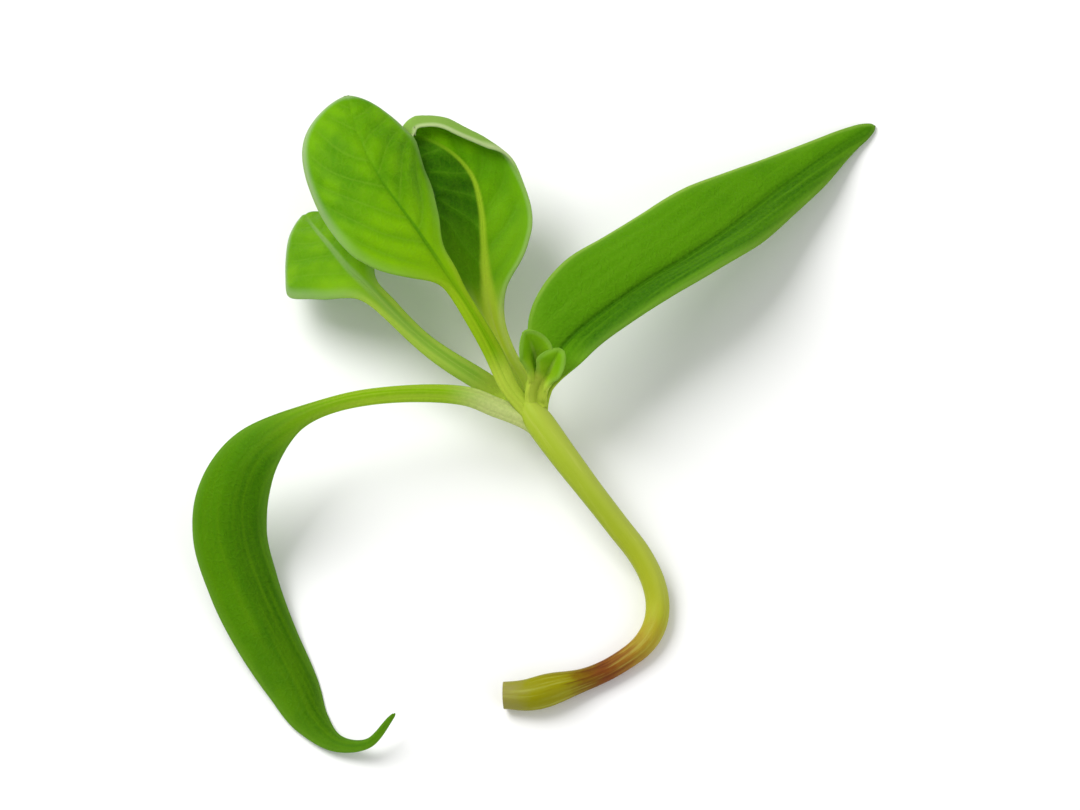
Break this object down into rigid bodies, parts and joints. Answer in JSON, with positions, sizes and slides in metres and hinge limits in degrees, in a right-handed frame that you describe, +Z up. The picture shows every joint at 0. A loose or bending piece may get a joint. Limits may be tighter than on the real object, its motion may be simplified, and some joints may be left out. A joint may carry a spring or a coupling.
{
  "type": "baby spinach shoot",
  "caption": "Whole baby spinach shoot, cut at the root end and lying on its side: a bent stem, long strap-shaped seed leaves and spoon-shaped leaves, all from one crown.",
  "frame": {"origin": "on the surface that the shoot lies on, below the middle of its outline seen from above", "axes": "+Z up from that surface; seen from above with +Y away, the spoon-shaped leaves point away, the cut root end is near and +X is to the right"},
  "size_m": [0.0528, 0.0518, 0.013],
  "materials": {
    "stem": "satin",
    "leaf": "satin",
    "seed_leaf": "satin",
    "young_leaf": "satin"
  },
  "bodies": {
    "root": {"stem": "stem", "leaf_upper": "leaf", "leaf_cupped": "leaf", "leaf_lower": "leaf", "seed_leaf_left": "seed_leaf", "seed_leaf_right": "seed_leaf", "young_leaves": "young_leaf"}
  },
  "joints": []
}
